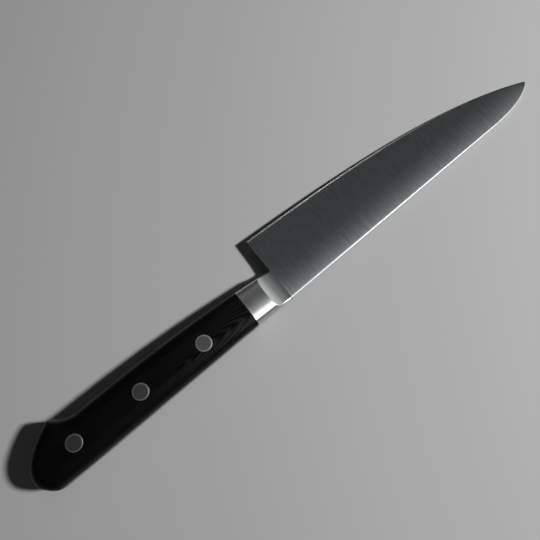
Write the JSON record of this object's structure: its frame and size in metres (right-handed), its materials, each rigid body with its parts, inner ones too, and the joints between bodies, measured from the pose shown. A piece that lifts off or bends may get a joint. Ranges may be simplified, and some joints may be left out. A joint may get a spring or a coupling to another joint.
{
  "type": "petty knife",
  "caption": "Small pointed kitchen knife: a full-tang steel blade with welded bolsters and black riveted handle scales ending in a beak.",
  "frame": {"origin": "under the middle of the knife's box, level with the flat pad of the right scale that it lies on", "axes": "+X from the butt to the tip along the handle, +Y towards the cutting edge, +Z out of the left face of the blade"},
  "size_m": [0.2704, 0.0348, 0.0152],
  "materials": {
    "blade_steel": "satin, ground across the blade",
    "bolster_steel": "polished",
    "handle_wood": "black resin-filled wood, polished",
    "rivet_metal": "ground flush, satin"
  },
  "bodies": {
    "root": {"blade_with_tang": "blade_steel", "bolster_left": "bolster_steel", "bolster_right": "bolster_steel", "handle_scale_left": "handle_wood", "handle_scale_right": "handle_wood", "rear_rivet_tube": "rivet_metal", "rear_rivet_pin": "rivet_metal", "middle_rivet_tube": "rivet_metal", "middle_rivet_pin": "rivet_metal", "front_rivet_tube": "rivet_metal", "front_rivet_pin": "rivet_metal"}
  },
  "joints": []
}
